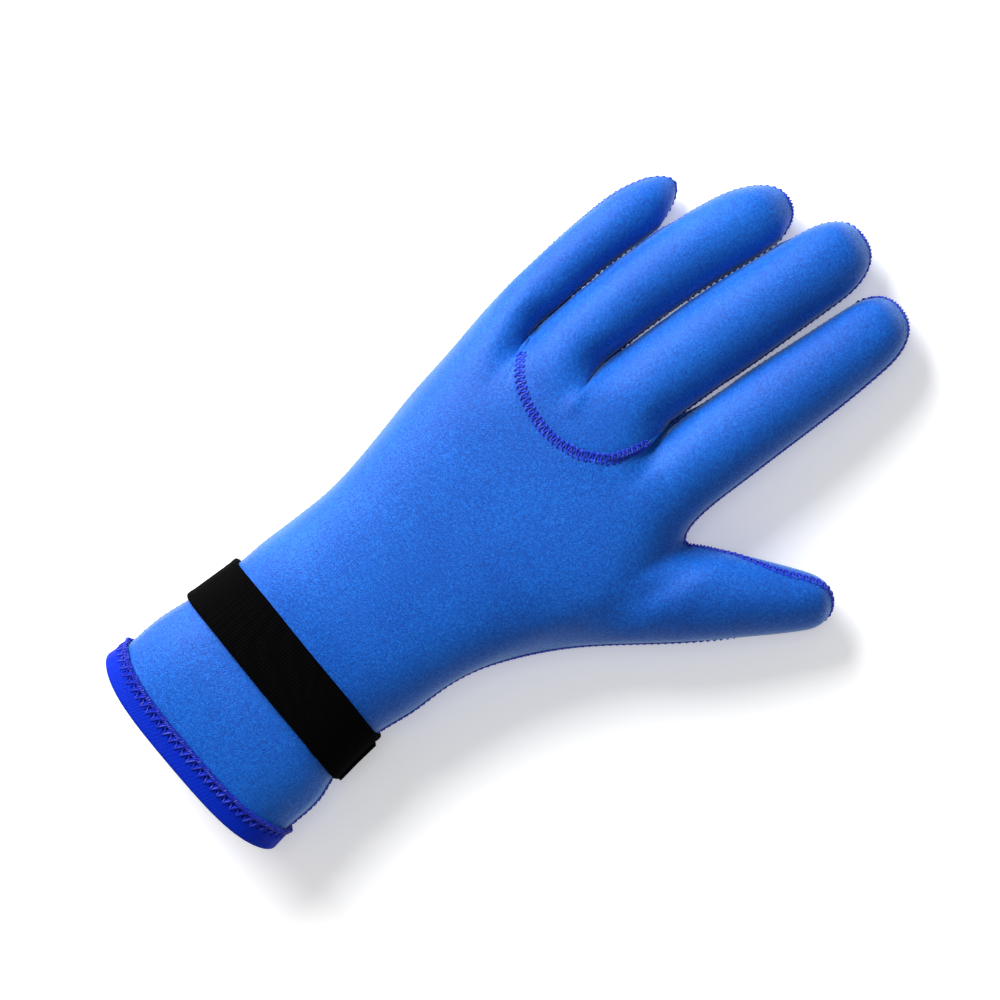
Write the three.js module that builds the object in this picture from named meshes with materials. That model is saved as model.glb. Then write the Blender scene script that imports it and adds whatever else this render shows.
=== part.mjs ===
// A left-hand diving glove of soft neoprene, lying palm down: five fingers, a flared cuff, and a wrist strap.
// It is sewn from three panels, the hand's back, the back of the two middle fingers, and the palm.
// The cuff's edge is bound all round, and a webbing strap is closed round the wrist by its own end.
//
// Every panel starts as a flat pattern in the plan view. A membrane blown up over that pattern gives
// the fullness of the hand, so fingers come out round and the palm comes out broad and level.
// X runs across the hand towards the thumb, Y along it towards the fingertips and Z up, in millimetres.
import * as THREE from 'three';

// Walls, gaps and flat trim
const wallThickness = 2.5;
const seamGap = 0.3;
const fitGap = 0.3;
const hemWidth = 7;
const hemThickness = 0.8;
const hemSqueeze = 0.9;
const strapWidth = 20.4;
const strapThickness = 1.4;
const strapSqueeze = 0.7; // how far the strap draws the wrist in on the little finger's side
const strapEndThickness = 0.8;
const strapEndShare = 0.84; // the closing end's width, as a share of the strap's

// Arm part: the cuff, the wrist, and the back of the hand up to the fingers
const wristWidth = 75.4;
const wristPlace = 84;
const mouthPlace = 5.4;
const mouthBow = 4;
const mouthBowPower = 4;
const cuffFlareLittleSide = 1.4;
const cuffFlareThumbSide = 9.4;
const mouthTilt = 5;
const strapPlace = 49.4;
const strapTilt = 2.1;
const strapLean = 2.4; // how far the strap stands towards the fingers on the back, and away on the palm
const palmSpread = 18.6; // how far the little finger's side stands out past the wrist
const knuckleSeamDepth = 26.4; // how far the curved back seam dips below the two forks it joins

// Fingers, from the little finger to the index. A finger's place follows from the widths before it.
// fork is how far the fork on its thumb side lies up the hand, and lean how far its tip stands to that side.
const littleRootPlace = 186.4;
const fingers = [
  { name: 'little', width: 17.3, length: 64, lean: -3.4, fork: 186.9, tipLength: 20, tipPower: 1.9, roll: 22 },
  { name: 'ring', width: 23.1, length: 86, lean: 4.8, fork: 195.9, tipLength: 24, tipPower: 2.2, roll: 10 },
  { name: 'middle', width: 29.2, length: 90.2, lean: 3.6, fork: 202.4, tipLength: 18, tipPower: 2.4, roll: 4 },
  { name: 'index', width: 29.5, length: 85.3, lean: 1.2, fork: 196.4, tipLength: 17, tipPower: 2.4, roll: -4 },
];

// Sections of each finger: along its length, bow sideways as a share of its width, and width as a share
const fingerSections = {
  little: [
    { along: 0, bow: 0, width: 0.98 },
    { along: 0.2, bow: -0.05, width: 0.99 },
    { along: 0.4, bow: -0.07, width: 1.01 },
    { along: 0.6, bow: -0.05, width: 1.04 },
    { along: 0.8, bow: -0.005, width: 1.07 },
    { along: 1, bow: 0, width: 1.02 },
  ],
  ring: [
    { along: 0, bow: 0, width: 0.97 },
    { along: 0.2, bow: -0.09, width: 1.0 },
    { along: 0.4, bow: -0.135, width: 1.015 },
    { along: 0.6, bow: -0.13, width: 1.04 },
    { along: 0.8, bow: -0.08, width: 1.05 },
    { along: 1, bow: 0, width: 1.08 },
  ],
  middle: [
    { along: 0, bow: 0, width: 0.96 },
    { along: 0.2, bow: -0.02, width: 0.968 },
    { along: 0.4, bow: -0.022, width: 0.975 },
    { along: 0.6, bow: -0.015, width: 0.945 },
    { along: 0.8, bow: 0, width: 0.89 },
    { along: 1, bow: 0, width: 0.83 },
  ],
  index: [
    { along: 0, bow: 0, width: 0.985 },
    { along: 0.2, bow: 0.002, width: 0.97 },
    { along: 0.4, bow: 0.005, width: 0.945 },
    { along: 0.6, bow: 0.017, width: 0.895 },
    { along: 0.8, bow: 0.015, width: 0.82 },
    { along: 1, bow: 0, width: 0.76 },
  ],
  thumb: [
    { along: 0, bow: 0, width: 1 },
    { along: 0.2, bow: 0, width: 0.91 },
    { along: 0.5, bow: 0, width: 0.775 },
    { along: 0.8, bow: 0, width: 0.6 },
    { along: 1, bow: 0, width: 0.52 },
  ],
};

// Thumb: it branches off the hand's side between the wrist end of its mound and the web beside the index
const thumb = { name: 'thumb', width: 33.5, length: 50.2, tipLength: 10, tipPower: 2.3, roll: 34 };
const thumbAngle = 48.5;
const webAcross = 47.4;
const webPlace = 181.7;
const moundAcross = 43.9;
const moundPlace = 112.4;
const moundRisePower = 2.2;

// Outline of the arm part: flare of the cuff from the wrist to the mouth, and spread of the hand's
// little-finger side from the wrist to the root of that finger
const cuffOutline = [
  { along: 0, flare: 0 },
  { along: 0.3, flare: 0.06 },
  { along: 0.55, flare: 0.34 },
  { along: 0.8, flare: 0.67 },
  { along: 1, flare: 1 },
];
const palmOutline = [
  { along: 0, spread: 0 },
  { along: 0.12, spread: 0.02 },
  { along: 0.22, spread: 0.1 },
  { along: 0.36, spread: 0.27 },
  { along: 0.54, spread: 0.51 },
  { along: 0.72, spread: 0.7 },
  { along: 0.88, spread: 0.89 },
  { along: 1, spread: 1 },
];
// Lower edge of the thumb's mound, from the wrist end of the mound to the thumb's root
const moundOutline = [
  { along: 0.3, sag: -0.031 },
  { along: 0.62, sag: -0.025 },
];
// The curved seam over the knuckles, between the fork beside the little finger and the one beside the index
const knuckleSeam = [
  { across: 0.03, dip: 0.245 },
  { across: 0.14, dip: 0.577 },
  { across: 0.312, dip: 0.843 },
  { across: 0.484, dip: 0.993 },
  { across: 0.656, dip: 1.06 },
  { across: 0.828, dip: 0.99 },
  { across: 0.952, dip: 0.829 },
  { across: 1.013, dip: 0.497 },
  { across: 1.01, dip: 0.2 },
];
const knuckleSeamMiddle = 0.47; // how far along that seam it passes below the fork of the two fingers

// Fullness: the membrane's reach sets how soon a wide part levels out, and its rise how round a finger is
const membraneReach = 13.5;
const membraneRise = 1.58;
const backShare = 1; // share of the fullness that stands above the side seam, and below it
const palmShare = 0.98;
// How often a shape that is found step by step is gone over, and how far a point goes in one step
const settlingSweeps = 500;
const settlingStep = 1.7;
const easingSweeps = 5;
const easingStep = 0.6;
const easedThumb = 0.4; // share of the thumb that is eased with the hand
const wallSweeps = 3;
const wallStep = 0.5;
const gapSweeps = 12;
// Height of the side seam over the surface that the glove lies on
const cuffSeamHeight = 18;
const palmSeamHeight = 18;
const rootSeamHeight = 16.5;
const tipSeamShare = 0.37; // of a finger's width
const fingerArch = 1.5;
// A finger turns about its axis between these shares of its length
const rollStart = 0.1;
const rollEnd = 0.75;
// Valleys that run back from the forks over the knuckles
const valleyLength = 24;
const valleyWidth = 5;
const valleyDepth = 2.2;

// Mesh density: quads across a finger, and rows along each stretch
const fingerColumns = 8;
const handColumns = fingers.length * fingerColumns;
const shaftRows = 6;
const tipRows = 3;
const outlineStops = 4; // places along a finger's side where its outline follows its sections
const rows = { hem: 1, cuff: 3, strap: 2, heel: 4, mound: fingerColumns, web: 2, knuckles: 3, thumb: 8 };
const strapEndColumns = 20; // how many columns of the palm the strap's closing end covers
const forkCalm = 0.65; // how far columns spread out again, below the forks, from an arch's to even ones
const tubeCrowding = 0.6; // how far a round tube's columns crowd towards its sides, from even to an arch's
const tipShoulder = 52; // degrees round the tip where a finger's side ends and its end row begins

const { lerp, smoothstep, degToRad } = THREE.MathUtils;

// A pattern point keeps the height of the side seam at its place as its third coordinate
const place = (x, y, seamHeight) => new THREE.Vector3(x, y, seamHeight);

// A smooth value between the rows of a table
function between(table, key, along) {
  const last = table.length - 1;
  const found = table.findIndex((row) => row.along >= along);
  const i = Math.max(found < 0 ? last : found, 1);
  const slopeAt = (k) => {
    const [a, b] = [table[Math.max(k - 1, 0)], table[Math.min(k + 1, last)]];
    return (b[key] - a[key]) / (b.along - a.along);
  };
  const [from, to] = [table[i - 1], table[i]];
  const span = to.along - from.along;
  const t = (along - from.along) / span;
  const rise = t * t * (3 - 2 * t);
  const swing = t * (1 - t) * ((1 - t) * slopeAt(i - 1) - t * slopeAt(i));
  return lerp(from[key], to[key], rise) + span * swing;
}

// Shares from 0 to 1: in equal steps, or as the points round an arch are seen from above
const evenShares = (count) => Array.from({ length: count + 1 }, (_, i) => i / count);
const archShares = (count) => evenShares(count).map((share) => (1 - Math.cos(Math.PI * share)) / 2);
const mixShares = (one, other, share) => one.map((value, i) => lerp(value, other[i], share));

const wristHalf = wristWidth / 2;
const littleRootAcross = -(wristHalf + palmSpread);
const thumbAhead = place(Math.cos(degToRad(thumbAngle)), Math.sin(degToRad(thumbAngle)), 0);

// The forks, from the little finger's outer root to the index's
const forks = fingers.reduce(
  (list, finger) => [...list, place(list.at(-1).x + finger.width, finger.fork, rootSeamHeight)],
  [place(littleRootAcross, littleRootPlace, rootSeamHeight)],
);
const web = place(webAcross, webPlace, rootSeamHeight);
const mound = place(moundAcross, moundPlace, palmSeamHeight);
const indexRoot = forks.at(-1);

// The hand's root row: one arch of points under each finger
const rootRow = fingers.flatMap((finger, i) => {
  const row = archShares(fingerColumns).map((share) => forks[i].clone().lerp(forks[i + 1], share));
  return i ? row.slice(1) : row;
});

// The row that ends the hand's back: under the middle two fingers it follows the curved seam instead
function knuckleRow() {
  const [from, to] = [forks[1], forks[3]];
  const dips = knuckleSeam.map(({ across, dip }) => {
    const point = from.clone().lerp(to, across);
    point.y -= dip * knuckleSeamDepth;
    return point;
  });
  const curve = new THREE.CatmullRomCurve3([from, ...dips, to]);
  const halves = evenShares(fingerColumns);
  const shares = [
    ...halves.map((share) => share * knuckleSeamMiddle),
    ...halves.slice(1).map((share) => lerp(knuckleSeamMiddle, 1, share)),
  ];
  const seam = shares.map((share) => curve.getPointAt(share));
  return [...rootRow.slice(0, fingerColumns), ...seam, ...rootRow.slice(3 * fingerColumns + 1)];
}

// Outer edges of the arm part at a place along the hand
function littleSide(at, seamHeight) {
  const down = (wristPlace - at) / (wristPlace - mouthPlace);
  const up = (at - wristPlace) / (littleRootPlace - wristPlace);
  const wider = at < wristPlace
    ? cuffFlareLittleSide * between(cuffOutline, 'flare', down)
    : palmSpread * between(palmOutline, 'spread', up);
  return place(-wristHalf - wider, at, seamHeight);
}
function thumbSide(at, seamHeight) {
  const down = (wristPlace - at) / (wristPlace - mouthPlace);
  const up = (at - wristPlace) / (moundPlace - wristPlace);
  const wider = at < wristPlace
    ? cuffFlareThumbSide * between(cuffOutline, 'flare', down)
    : (moundAcross - wristHalf) * up ** moundRisePower;
  return place(wristHalf + wider, at, seamHeight);
}

// Left and right ends of every row of the arm part, how far the row bows down between them, and how
// much it takes after the row at the fingers' roots
function armRowEnds(side) {
  const tilted = (at, across) => at + across * Math.tan(degToRad(strapTilt));
  const strapEdge = (edge) => {
    const at = strapPlace + edge * strapWidth;
    return [tilted(at, -wristHalf), tilted(at, wristHalf)];
  };
  const cuffRow = (left, right, bow) => ({
    ends: [littleSide(left, cuffSeamHeight), thumbSide(right, cuffSeamHeight)],
    bow,
    likeRoots: 0,
  });
  const hem = [mouthPlace + hemWidth, mouthPlace + mouthTilt + hemWidth];
  const [strapStart, strapEnd] = [strapEdge(-0.5), strapEdge(0.5)];
  const lean = -side * strapLean;
  const mouth = cuffRow(mouthPlace, mouthPlace + mouthTilt, mouthBow);
  const cuff = evenShares(rows.cuff).map((t) =>
    cuffRow(lerp(hem[0], strapStart[0], t), lerp(hem[1], strapStart[1], t), lerp(mouthBow, lean, t)),
  );
  const strap = evenShares(rows.strap).slice(1).map((t) =>
    cuffRow(lerp(strapStart[0], strapEnd[0], t), lerp(strapStart[1], strapEnd[1], t), lean),
  );
  const handRows = rows.heel + rows.mound + rows.web;
  const hand = evenShares(handRows).slice(1).map((t, i) => {
    const row = i + 1;
    const height = row <= rows.heel
      ? lerp(cuffSeamHeight, palmSeamHeight, row / rows.heel)
      : lerp(palmSeamHeight, rootSeamHeight, (row - rows.heel) / (handRows - rows.heel));
    const left = littleSide(lerp(strapEnd[0], littleRootPlace, t), height);
    return { ends: [left, handRight(row, strapEnd[1], height)], bow: lean * (1 - t), likeRoots: t ** 2 };
  });
  return [mouth, ...cuff, ...strap, ...hand];
}

// Right end of a row of the hand: up the heel, over the thumb's root to the web, then round the web
function handRight(row, heelStart, height) {
  const past = row - rows.heel;
  if (past <= 0) return thumbSide(lerp(heelStart, moundPlace, row / rows.heel), height);
  if (past <= rows.mound) return mound.clone().lerp(web, past / rows.mound);
  const turn = ((past - rows.mound) / rows.web) * (Math.PI / 2);
  const x = lerp(web.x, indexRoot.x, Math.sin(turn));
  const y = lerp(indexRoot.y, web.y, Math.cos(turn));
  return place(x, y, rootSeamHeight);
}

// The arm part's rows, drawn between their ends and more and more like the row at the fingers' roots
function armRows(topRow, side) {
  const [topLeft, topRight] = [topRow[0], topRow.at(-1)];
  const shareAt = (x) => (x - topLeft.x) / (topRight.x - topLeft.x);
  const topShares = topRow.map((point) => shareAt(point.x));
  const spread = fingers.flatMap((_, i) =>
    evenShares(fingerColumns).slice(i ? 1 : 0).map((share) => shareAt(lerp(forks[i].x, forks[i + 1].x, share))),
  );
  const calmShares = topShares.map((share, i) => {
    const isOuter = Math.min(i, handColumns - i) < fingerColumns / 2;
    return isOuter ? share : lerp(share, spread[i], forkCalm);
  });
  const tubeShares = mixShares(evenShares(handColumns), archShares(handColumns), tubeCrowding);
  const strays = topRow.map((point, i) => point.clone().sub(topLeft.clone().lerp(topRight, topShares[i])));
  return armRowEnds(side).map(({ ends, bow, likeRoots }, r, all) => {
    if (r === all.length - 1) return topRow;
    return mixShares(tubeShares, calmShares, likeRoots).map((share, i) => {
      const point = ends[0].clone().lerp(ends[1], share).addScaledVector(strays[i], likeRoots);
      point.y -= bow * (1 - Math.abs(2 * share - 1) ** mouthBowPower);
      return point;
    });
  });
}

// A finger or thumb: where its axis starts and ends, and its pattern's rows from root to tip
function limbAxis(limb, start, tip) {
  const reach = tip.clone().sub(start);
  const ahead = reach.clone().setZ(0).normalize();
  return { limb, start, reach, ahead, side: place(ahead.y, -ahead.x, 0) };
}
function edgePoint({ limb, start, reach, side }, along, hand, narrowing = 1) {
  const sections = fingerSections[limb.name];
  const half = (limb.width * between(sections, 'width', along) * narrowing) / 2;
  const point = start.clone().addScaledVector(reach, along);
  point.z += limb.arch * 4 * along * (1 - along);
  return point.addScaledVector(side, limb.width * between(sections, 'bow', along) + hand * half);
}
function limbRows(axis, root, shaftCount, leadIn = []) {
  const { limb, ahead } = axis;
  const shoulder = 1 - limb.tipLength / limb.length;
  const stops = evenShares(outlineStops).slice(1).map((t) => t * shoulder);
  const edge = (first, lead, hand) =>
    new THREE.CatmullRomCurve3([first, ...lead, ...stops.map((along) => edgePoint(axis, along, hand))]);
  const edges = [edge(root[0], [], -1), edge(root.at(-1), leadIn, 1)];
  const arch = archShares(fingerColumns);
  const shaft = evenShares(shaftCount).slice(1).map((t) => {
    const [left, right] = edges.map((curve) => curve.getPointAt(t));
    return arch.map((share) => left.clone().lerp(right, share));
  });
  const power = 2 / limb.tipPower;
  const turnEnd = degToRad(tipShoulder);
  const roundness = (angle) => [Math.sin(angle) ** power, Math.cos(angle) ** power];
  const [shoulderReach, shoulderWidth] = roundness(turnEnd);
  const endTurns = evenShares(fingerColumns).map((share) => (2 * share - 1) * (Math.PI / 2 - turnEnd));
  const ends = endTurns.map((turn) => {
    const [across, forward] = roundness(Math.abs(turn));
    return { share: (1 + (Math.sign(turn) * across) / shoulderWidth) / 2, forward: forward - shoulderReach };
  });
  const tip = evenShares(tipRows).slice(1).map((t) => {
    const [reach, narrowing] = roundness(turnEnd * t);
    const along = lerp(shoulder, 1, reach);
    const [left, right] = [-1, 1].map((hand) => edgePoint(axis, along, hand, narrowing));
    return ends.map((end, i) =>
      left.clone().lerp(right, lerp(arch[i], end.share, t))
        .addScaledVector(ahead, end.forward * limb.tipLength * t),
    );
  });
  return [root, ...shaft, ...tip];
}

// Every finger's patch, which the back and the palm have in common
const fingerPatches = fingers.map((finger, i) => {
  const start = forks[i].clone().lerp(forks[i + 1], 0.5);
  const tip = place(start.x + finger.lean, start.y + finger.length, finger.width * tipSeamShare);
  const axis = limbAxis({ ...finger, arch: fingerArch }, start, tip);
  const root = rootRow.slice(i * fingerColumns, (i + 1) * fingerColumns + 1);
  return { axis, rows: limbRows(axis, root, shaftRows) };
});

// The thumb grows from the right ends of the mound's rows. Its root is eased into the hand.
function thumbPatches(arm) {
  const side = place(thumbAhead.y, -thumbAhead.x, 0);
  const start = web.clone().addScaledVector(side, thumb.width / 2);
  const tip = start.clone().addScaledVector(thumbAhead, thumb.length).setZ(thumb.width * tipSeamShare);
  const axis = limbAxis({ ...thumb, arch: 0 }, start, tip);
  const firstRow = 1 + rows.cuff + rows.strap + rows.heel;
  const root = arm.slice(firstRow, firstRow + rows.mound + 1).map((row) => row.at(-1)).reverse();
  const lower = edgePoint(axis, 0, 1);
  const leadIn = moundOutline.map(({ along, sag }) =>
    mound.clone().lerp(lower, along).addScaledVector(side, sag * mound.distanceTo(lower)),
  );
  const all = limbRows(axis, root, rows.thumb, [...leadIn, lower]);
  const rootRows = Math.round(rows.thumb * easedThumb);
  return [{ axis, rows: all.slice(0, rootRows + 1), isEased: true }, { axis, rows: all.slice(rootRows) }];
}

// The two sheets of the glove. The knuckle patch fills the curved seam on the back.
function backPatches() {
  const topRow = knuckleRow();
  const arm = armRows(topRow, 1);
  const middleTwo = [fingerColumns, 3 * fingerColumns + 1];
  const [seam, roots] = [topRow.slice(...middleTwo), rootRow.slice(...middleTwo)];
  const knuckles = evenShares(rows.knuckles).map((t) => {
    if (t === 0) return seam;
    return t === 1 ? roots : seam.map((point, i) => point.clone().lerp(roots[i], t));
  });
  const panels = ['back_panel', 'finger_panel', 'finger_panel', 'back_panel'];
  return [
    { rows: arm, panel: 'back_panel', isEased: true },
    { rows: knuckles, panel: 'finger_panel' },
    ...fingerPatches.map((patch, i) => ({ ...patch, panel: panels[i] })),
    ...thumbPatches(arm).map((patch) => ({ ...patch, panel: 'back_panel' })),
  ];
}
function palmPatches() {
  const arm = armRows(rootRow, -1);
  const patches = [{ rows: arm, isEased: true }, ...fingerPatches, ...thumbPatches(arm)];
  return patches.map((patch) => ({ ...patch, panel: 'palm_panel' }));
}

// Points joined where they meet, each known by its index
class PointList {
  constructor() {
    this.points = [];
    this.known = new Map();
  }
  indexOf(point) {
    const key = point.toArray().map((value) => value.toFixed(3)).join();
    if (!this.known.has(key)) this.known.set(key, this.points.push(point) - 1);
    return this.known.get(key);
  }
}

// Triangles of a sheet's patches, with the panel and the finger that each belongs to, and the quads' sides
function sheetOf(patches) {
  const list = new PointList();
  const faces = [];
  const links = [];
  for (const { rows: patchRows, panel, axis, isEased } of patches) {
    const grid = patchRows.map((row) => row.map((point) => list.indexOf(point)));
    for (let r = 0; r < grid.length - 1; r += 1) {
      for (let c = 0; c < fingerColumnsOf(grid); c += 1) {
        const [a, b, d, e] = [grid[r][c], grid[r][c + 1], grid[r + 1][c + 1], grid[r + 1][c]];
        links.push([a, b], [b, d], [d, e], [e, a]);
        const halves = c < fingerColumnsOf(grid) / 2 ? [[a, b, e], [b, d, e]] : [[a, b, d], [a, d, e]];
        halves.filter((corners) => new Set(corners).size === 3).forEach((corners) => {
          faces.push({ corners, panel, axis, isEased });
        });
      }
    }
  }
  return { list, faces, links, armRows: patches[0].rows };
}
const fingerColumnsOf = (grid) => grid[0].length - 1;

// Edges that only one triangle has, in that triangle's direction
function openEdges(triangles) {
  const edges = new Map();
  for (const corners of triangles) {
    corners.forEach((a, i) => edges.set(`${a},${corners[(i + 1) % 3]}`, [a, corners[(i + 1) % 3]]));
  }
  return [...edges.values()].filter(([a, b]) => !edges.has(`${b},${a}`));
}

// Fullness of a membrane that is held down along the side seams and free at the mouth. It settles step
// by step towards the mean of its neighbours, weighted by the cotangents of the angles between them.
function membrane({ list, faces, armRows: arm }) {
  const flat = list.points.map((point) => point.clone().setZ(0));
  const mouth = new Set(arm[0].map((point) => list.indexOf(point)));
  const held = new Set(
    openEdges(faces.map((face) => face.corners)).filter(([a, b]) => !(mouth.has(a) && mouth.has(b))).flat(),
  );
  const pulls = flat.map(() => new Map());
  const areas = flat.map(() => 0);
  for (const { corners } of faces) {
    corners.forEach((o, i) => {
      const [a, b] = [corners[(i + 1) % 3], corners[(i + 2) % 3]];
      const [toA, toB] = [a, b].map((k) => flat[k].clone().sub(flat[o]));
      const doubleArea = toA.clone().cross(toB).length();
      const weight = toA.dot(toB) / doubleArea / 2;
      pulls[a].set(b, (pulls[a].get(b) ?? 0) + weight);
      pulls[b].set(a, (pulls[b].get(a) ?? 0) + weight);
      areas[o] += doubleArea / 6;
    });
  }
  const full = flat.map(() => 0);
  for (let sweep = 0; sweep < settlingSweeps; sweep += 1) {
    pulls.forEach((pull, i) => {
      if (held.has(i)) return;
      let [lift, stiffness] = [areas[i], areas[i] / membraneReach ** 2];
      pull.forEach((weight, k) => {
        lift += weight * full[k];
        stiffness += weight;
      });
      full[i] += settlingStep * (lift / stiffness - full[i]);
    });
  }
  return full.map((value) => Math.max(value, 0));
}

// The valley that runs back from each fork over the knuckles
function valleyAt(point) {
  return forks.slice(1, -1).reduce((depth, fork) => {
    const across = (point.x - fork.x) / valleyWidth;
    const back = fork.y - point.y;
    const fade = back < 0 ? 0 : 1 - smoothstep(back, 0, valleyLength);
    return depth + valleyDepth * fade * Math.exp(-across * across);
  }, 0);
}

// Each finger turns about its own axis towards its tip, so its side seams show
function rolled(point, axis) {
  if (!axis) return point;
  const from = point.clone().sub(axis.start);
  const along = from.dot(axis.ahead) / axis.limb.length;
  const angle = degToRad(axis.limb.roll) * smoothstep(along, rollStart, rollEnd);
  const centre = edgePoint(axis, THREE.MathUtils.clamp(along, 0, 1), 0);
  const arm = point.clone().sub(centre);
  const turned = arm.clone().applyAxisAngle(axis.ahead, angle);
  return point.add(turned.sub(arm));
}

// A sheet blown up to one side of its seams, and flat where it lies on the surface
function blownUp(sheet, side, share) {
  const full = membrane(sheet);
  const axes = new Map();
  sheet.faces.forEach(({ corners, axis }) => corners.forEach((i) => axes.set(i, axis)));
  return sheet.list.points.map((plan, i) => {
    const point = plan.clone();
    const lift = share * membraneRise * Math.sqrt(full[i]);
    point.z += side * Math.max(lift - (side > 0 ? Math.min(valleyAt(plan), lift / 2) : 0), 0);
    rolled(point, axes.get(i));
    point.z = Math.max(point.z, 0);
    return point;
  });
}

// Unit normals of the joined skin, each the mean of its triangles'
function normalsOf(points, faces) {
  const normals = points.map(() => new THREE.Vector3());
  const [ab, ac] = [new THREE.Vector3(), new THREE.Vector3()];
  for (const { corners } of faces) {
    const [a, b, c] = corners.map((i) => points[i]);
    const normal = ab.subVectors(b, a).cross(ac.subVectors(c, a));
    corners.forEach((i) => normals[i].add(normal));
  }
  return normals.map((normal) => normal.normalize());
}

// Evens out the hand and the thumb between their seams, where the pattern's columns crowd together
function easeHand(points, faces, links, cuffPoints) {
  const panelsAt = points.map(() => new Set());
  const held = new Set(cuffPoints);
  for (const { corners, panel, isEased } of faces) {
    corners.forEach((i) => panelsAt[i].add(panel));
    if (!isEased) corners.forEach((i) => held.add(i));
  }
  const neighbours = points.map(() => new Set());
  links.forEach(([a, b]) => {
    neighbours[a].add(b);
    neighbours[b].add(a);
  });
  const free = points.map((_, i) => i).filter((i) => !held.has(i) && panelsAt[i].size === 1);
  for (let sweep = 0; sweep < easingSweeps; sweep += 1) {
    const means = free.map((i) => {
      const sum = [...neighbours[i]].reduce((total, k) => total.add(points[k]), new THREE.Vector3());
      return sum.divideScalar(neighbours[i].size);
    });
    free.forEach((i, k) => points[i].lerp(means[k], easingStep));
  }
}

// Directions in which the walls are thick: the skin's normals, evened out with their neighbours'
function wallDirections(normals, links) {
  let directions = normals;
  for (let sweep = 0; sweep < wallSweeps; sweep += 1) {
    const sums = directions.map((direction) => direction.clone());
    links.forEach(([a, b]) => {
      sums[a].addScaledVector(directions[b], wallStep);
      sums[b].addScaledVector(directions[a], wallStep);
    });
    directions = sums.map((sum) => sum.normalize());
  }
  return directions;
}

// The glove's outer skin: both sheets joined along the side seams, then drawn in under hem and strap
function gloveSkin() {
  const list = new PointList();
  const faces = [];
  const links = [];
  const halves = [[backPatches(), 1, backShare], [palmPatches(), -1, palmShare]];
  const armGrids = halves.map(([patches, side, share]) => {
    const sheet = sheetOf(patches);
    const raised = blownUp(sheet, side, share);
    const indices = raised.map((point) => list.indexOf(point));
    for (const { corners, panel, isEased } of sheet.faces) {
      const joined = corners.map((i) => indices[i]);
      faces.push({ corners: side > 0 ? joined : joined.reverse(), panel, isEased });
    }
    links.push(...sheet.links.map((pair) => pair.map((i) => indices[i])).filter(([a, b]) => a !== b));
    return sheet.armRows.map((row) => row.map((point) => indices[sheet.list.indexOf(point)]));
  });
  const [back, palm] = armGrids;
  const rings = back.map((row, r) => [...row, ...palm[r].slice(1, -1).reverse()]);
  const points = list.points;
  easeHand(points, faces, links, rings.slice(0, rows.hem + rows.cuff + rows.strap + 1).flat());
  const beforeSqueeze = normalsOf(points, faces);
  const drawIn = (ring, squeezeAt, stack) => ring.forEach((i) => {
    const under = smoothstep(-beforeSqueeze[i].z, 0, 1);
    points[i].addScaledVector(beforeSqueeze[i], -lerp(squeezeAt(points[i]), stack, under));
  });
  const thumbwards = (point) => smoothstep(point.x, -wristHalf, wristHalf);
  const strapStack = 2 * fitGap + strapThickness + strapEndThickness;
  const strapSqueezeAt = (point) => strapSqueeze + (fitGap + strapEndThickness) * thumbwards(point);
  hemRings(rings).forEach((ring) => drawIn(ring, () => hemSqueeze, fitGap + hemThickness));
  strapRings(rings).forEach((ring) => drawIn(ring, strapSqueezeAt, strapStack));
  const normals = normalsOf(points, faces);
  return { points, faces, rings, normals, inwards: wallDirections(normals, links) };
}
const hemRings = (rings) => rings.slice(0, rows.hem + 1);
const strapRings = (rings) => rings.slice(rows.hem + rows.cuff, rows.hem + rows.cuff + rows.strap + 1);

// A closed solid from its points and triangles
function solidOf(points, triangles) {
  const geometry = new THREE.BufferGeometry();
  geometry.setAttribute('position', new THREE.Float32BufferAttribute(points.flatMap((p) => p.toArray()), 3));
  geometry.setIndex(triangles.flat());
  geometry.computeVertexNormals();
  return geometry;
}

// How far a rim point moves, until it stands half a seam gap behind every cut face that meets at it
function standBack(cutNormals) {
  const back = new THREE.Vector3();
  for (let sweep = 0; sweep < gapSweeps; sweep += 1) {
    cutNormals.forEach((normal) => {
      back.addScaledVector(normal, -Math.max(seamGap / 2 + back.dot(normal), 0));
    });
  }
  return back;
}

// One panel of neoprene: its part of the skin, the wall's inner side, and the cut edges all round,
// which stand half a seam gap back from the next panel
function panelSolid(skin, panel) {
  const triangles = skin.faces.filter((face) => face.panel === panel).map((face) => face.corners);
  const used = [...new Set(triangles.flat())];
  const local = new Map(used.map((i, k) => [i, k]));
  const count = used.length;
  const outer = used.map((i) => skin.points[i].clone());
  const inner = used.map((i) => skin.points[i].clone().addScaledVector(skin.inwards[i], -wallThickness));
  const points = [...outer, ...inner];
  const outside = triangles.map((corners) => corners.map((i) => local.get(i)));
  const inside = outside.map(([a, b, c]) => [c + count, b + count, a + count]);
  // Facing cuts are split along the same diagonals, so that they stay parallel
  const cuts = openEdges(triangles).map(([from, to]) => {
    const [a, b] = [local.get(from), local.get(to)];
    const [innerA, innerB] = [a + count, b + count];
    const faces = from < to ? [[b, a, innerA], [b, innerA, innerB]] : [[b, a, innerB], [a, innerA, innerB]];
    return { faces, isMouth: skin.rings[0].includes(from) && skin.rings[0].includes(to) };
  });
  const cutNormals = points.map(() => []);
  for (const corners of cuts.filter((cut) => !cut.isMouth).flatMap((cut) => cut.faces)) {
    const normal = new THREE.Triangle(...corners.map((i) => points[i])).getNormal(new THREE.Vector3());
    corners.forEach((i) => cutNormals[i].push(normal));
  }
  const moved = points.map((point, i) => point.clone().add(standBack(cutNormals[i])));
  return solidOf(moved, [...outside, ...inside, ...cuts.flatMap((cut) => cut.faces)]);
}

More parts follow.
